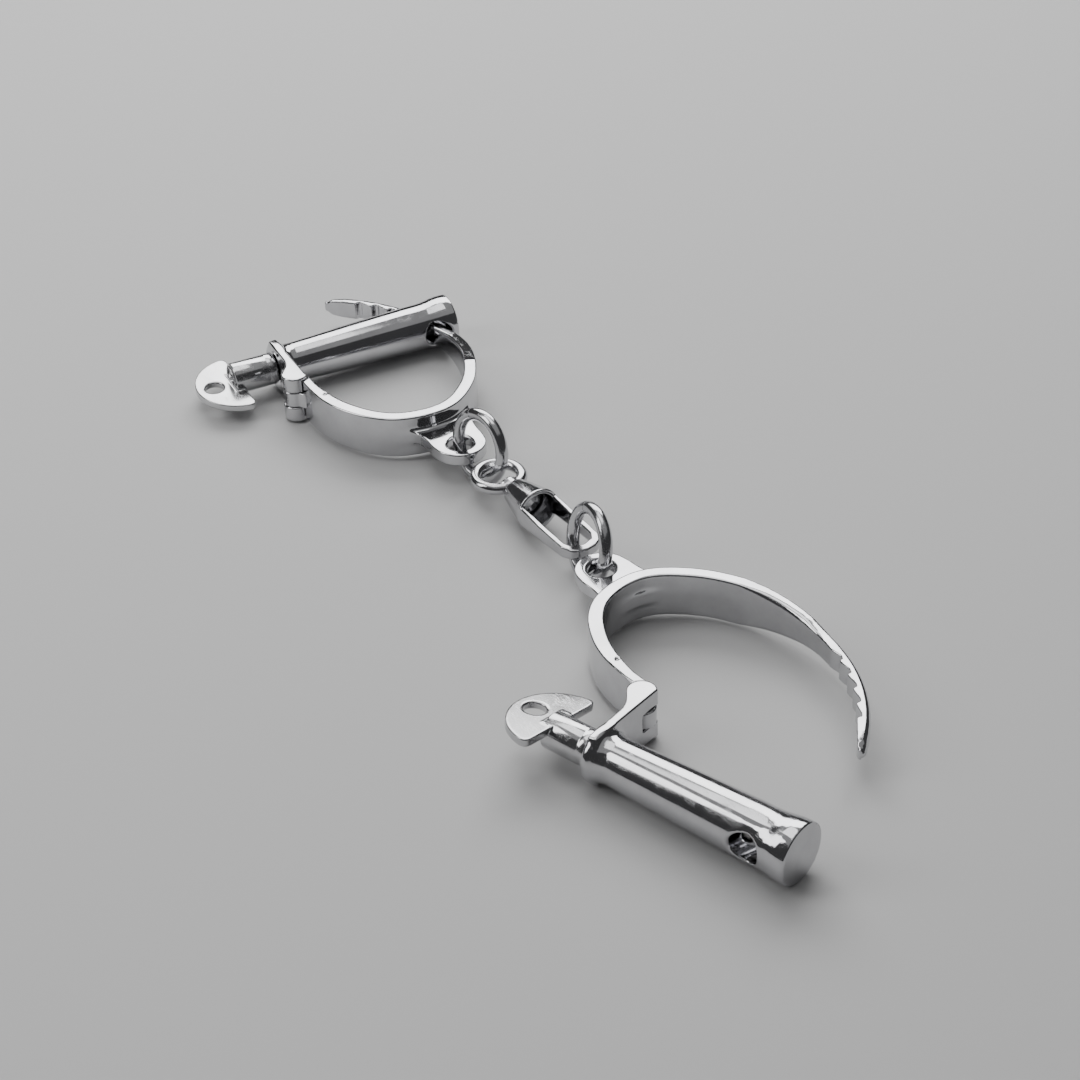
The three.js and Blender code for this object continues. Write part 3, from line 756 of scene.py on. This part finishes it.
def metal(name, colour, rough, wear, bump, pits=0.0):
    """Plated or bare metal with tarnish clouds, fine scratches, rubbed edges and light relief."""
    material = bpy.data.materials.new(name)
    material.use_nodes = True
    tree = material.node_tree
    shader = tree.nodes["Principled BSDF"]
    shader.inputs["Metallic"].default_value = 1.0
    coord = tree.nodes.new("ShaderNodeTexCoord").outputs["Object"]
    clouds = noise(tree, coord, CLOUD_SCALE, 5, 0.6)
    grain = noise(tree, coord, GRAIN_SCALE, 3, 0.6)
    lines = math_node(tree, "ADD", *[scratches(tree, coord, *each) for each in SCRATCH_SETS])
    bright = ramp(tree, clouds, [(0.35, 0.0), (0.6, 1.0)])
    tree.links.new(two_tone(tree, bright, colour), shader.inputs["Base Color"])
    dull = ramp(tree, clouds, [(0.4, 1.0), (0.7, 0.0)])
    pointiness = tree.nodes.new("ShaderNodeNewGeometry").outputs["Pointiness"]
    edges = ramp(tree, pointiness, [(0.50, 0.0), (0.60, 1.0)])
    worn = weighted(tree, (dull, wear), (lines, wear * 1.6), (edges, wear * 0.8))
    tree.links.new(math_node(tree, "ADD", worn, rough), shader.inputs["Roughness"])
    height = weighted(tree, (grain, 0.10), (lines, -0.6), (clouds, 0.08))
    if pits:
        holes = ramp(tree, noise(tree, coord, PIT_SCALE, 3, 0.7), [(0.28, 0.0), (0.36, 1.0)])
        height = math_node(tree, "ADD", height, math_node(tree, "MULTIPLY", holes, pits))
    add_relief(tree, shader, height, bump)
    return material


NICKEL = metal("polished_nickel", (0.60, 0.60, 0.615), 0.05, 0.06, 0.10)
CHAIN = metal("chain_nickel", (0.56, 0.56, 0.575), 0.075, 0.09, 0.14)
KEY = metal("key_nickel", (0.62, 0.62, 0.63), 0.09, 0.10, 0.25, pits=0.8)
STEEL = metal("bare_steel", (0.52, 0.52, 0.53), 0.26, 0.18, 0.5)
OILED = metal("oiled_steel", (0.42, 0.41, 0.40), 0.22, 0.16, 0.4)


def repaint(cad_node, material):
    """Gives a kept CAD node a better material."""
    for held in frame["nodes"][cad_node].material_slots:
        held.material = material


# ---------------------------------------------------------------- placing

FACE_DOWN, FACE_UP = -1, 1


def basis(x_axis, z_axis, origin):
    """Frame at an origin with the given x and z axes."""
    x = Vector(x_axis).normalized()
    z = Vector(z_axis).normalized()
    y = z.cross(x)
    matrix = Matrix((x, y, z)).transposed().to_4x4()
    matrix.translation = origin
    return matrix


def cuff_place(letter, up):
    """The cuff's frame, from its hinge joint and the key's axis."""
    hinge = JOINTS["bow_a_hinge" if letter == "a" else "cuff_b_hinge"]
    x_axis = JOINTS[f"key_{letter}_turn"]["axis"]
    place = basis(x_axis, (0, 0, up), (0, 0, 0))
    offset = place @ Vector((HINGE[0] * MM, HINGE[1] * MM, 0))
    place.translation = Vector(hinge["pos_m"]) - offset
    return place


def swung(place, degrees):
    """The cuff's frame, opened about its hinge."""
    pivot = Vector((HINGE[0] * MM, HINGE[1] * MM, 0))
    turn = Matrix.Rotation(math.radians(degrees), 4, "Z")
    return place @ Matrix.Translation(pivot) @ turn @ Matrix.Translation(-pivot)


def middle(cad_node):
    """Centre of a CAD node's box."""
    low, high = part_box(cad_node)
    return (low + high) / 2


def build_shapes():
    """Each different shape once; the two cuffs and the two rings share them."""
    return {
        "barrel": surface_net(barrel_field(), (-12, -12, -12), (77, 32, 12), 0.5),
        "bow": surface_net(bow_field(), (-14, -41, -10), (73, 107, 10), 0.5),
        "shank": lathe(shank_outline()),
        "plate": surface_net(key_plate_field, (-41, -21, -2), (-17, 21, 8), 0.4),
        "ring": surface_net(ring_field, (-17, -4, -17), (17, 4, 17), 0.45),
        "eye": surface_net(eye_field, (-13, -13, -6), (26, 13, 6), 0.4),
        "yoke": surface_net(yoke_field, (10, -11, -11), (66, 11, 11), 0.4),
    }


def place_piece(name, shape, place, body, cad_node, material):
    """Makes a piece that rides with a body and stands in for a CAD node."""
    obj = make_object(name, shape, place)
    obj.data.materials.append(material)
    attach(obj, body)
    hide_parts(cad_node)


def build_cuff(shapes, letter, up, open_degrees):
    """One cuff's visible pieces, and better materials for its pin and lock parts."""
    place = cuff_place(letter, up)
    barrel = shapes["barrel"] if up == FACE_UP else mirrored(shapes["barrel"])
    place_piece(f"barrel_look_{letter}", barrel, place, f"cuff_{letter}", f"barrel_{letter}",
                NICKEL)
    place_piece(f"bow_look_{letter}", shapes["bow"], swung(place, open_degrees),
                f"bow_{letter}", f"bow_{letter}", NICKEL)
    rolled = place @ Matrix.Rotation(math.radians(KEY_ROLL[letter]), 4, "X")
    for part in ("shank", "plate"):
        place_piece(f"key_{part}_look_{letter}", shapes[part], rolled, f"key_{letter}",
                    f"key_{part}_{letter}", KEY)
    repaint(f"hinge_pin_{letter}", STEEL)
    for inner in ("lock_bolt", "lock_spring", "spring_seat"):
        repaint(f"{inner}_{letter}", OILED)


def build_chain(shapes):
    """Both rings, and the swivel's eye and yoke."""
    for letter, (turn, lean) in RING_LAY.items():
        place = Matrix.Translation(middle(f"ring_{letter}"))
        place = place @ Matrix.Rotation(math.radians(turn), 4, "Z")
        place = place @ Matrix.Rotation(math.radians(-lean), 4, "X")
        place_piece(f"ring_look_{letter}", shapes["ring"], place, f"ring_{letter}",
                    f"ring_{letter}", CHAIN)
    spin = JOINTS["swivel_spin"]
    place = basis(spin["axis"], (0, 0, 1), spin["pos_m"])
    for part in ("eye", "yoke"):
        place_piece(f"swivel_{part}_look", shapes[part], place, f"swivel_{part}",
                    f"swivel_{part}", CHAIN)


# ---------------------------------------------------------------- floor, light and camera

def build_floor():
    """Pale floor at the height of the lowest CAD point."""
    material = bpy.data.materials.new("pale_floor")
    material.use_nodes = True
    shader = material.node_tree.nodes["Principled BSDF"]
    shader.inputs["Base Color"].default_value = (FLOOR_GREY, FLOOR_GREY, FLOOR_GREY, 1)
    shader.inputs["Roughness"].default_value = FLOOR_ROUGHNESS
    bpy.ops.mesh.primitive_plane_add(size=FLOOR_SIZE, location=(0, 0, CAD_BOX[0][2]))
    floor = bpy.context.object
    floor.name = "floor"
    floor.data.materials.append(material)


def direction(heading, elevation):
    """Unit vector at a heading and an elevation in degrees."""
    turn, rise = math.radians(heading), math.radians(elevation)
    return Vector((math.cos(turn) * math.cos(rise), math.sin(turn) * math.cos(rise),
                   math.sin(rise)))


def soft_box(name, heading, elevation, distance, size, power):
    """Area light that faces the origin from a heading and an elevation."""
    away = direction(heading, elevation)
    light = bpy.data.lights.new(name, "AREA")
    light.shape = "RECTANGLE"
    light.size, light.size_y = size
    light.energy = power
    obj = bpy.data.objects.new(name, light)
    bpy.context.scene.collection.objects.link(obj)
    obj.location = away * distance
    obj.rotation_euler = away.to_track_quat("Z", "Y").to_euler()


def build_light():
    """Dim world, soft boxes placed from the view, and a wide one overhead."""
    world = bpy.data.worlds.new("studio")
    bpy.context.scene.world = world
    world.use_nodes = True
    world.node_tree.nodes["Background"].inputs["Color"].default_value = WORLD_COLOUR
    for name, (heading, *rest) in SOFT_BOXES.items():
        soft_box(name, VIEW_HEADING + heading, *rest)
    soft_box("sky_box", *SKY_BOX)


def build_camera():
    """Camera at the photograph's angle."""
    look = direction(VIEW_HEADING, -VIEW_ELEVATION)
    data = bpy.data.cameras.new("camera")
    data.lens = LENS_MM
    data.sensor_width = SENSOR_MM
    data.shift_x = VIEW_SHIFT
    camera = bpy.data.objects.new("camera", data)
    bpy.context.scene.collection.objects.link(camera)
    camera.location = Vector(VIEW_TARGET) - look * VIEW_DISTANCE
    turn = look.to_track_quat("-Z", "Y").to_matrix().to_4x4()
    roll = Matrix.Rotation(math.radians(VIEW_ROLL), 4, "Z")
    camera.rotation_euler = (turn @ roll).to_euler()
    bpy.context.scene.camera = camera


SHAPES = build_shapes()
build_cuff(SHAPES, "a", FACE_DOWN, 0.0)
build_cuff(SHAPES, "b", FACE_UP, JOINTS["cuff_b_hinge"]["range_deg"][1])
build_chain(SHAPES)
build_floor()
build_light()
build_camera()
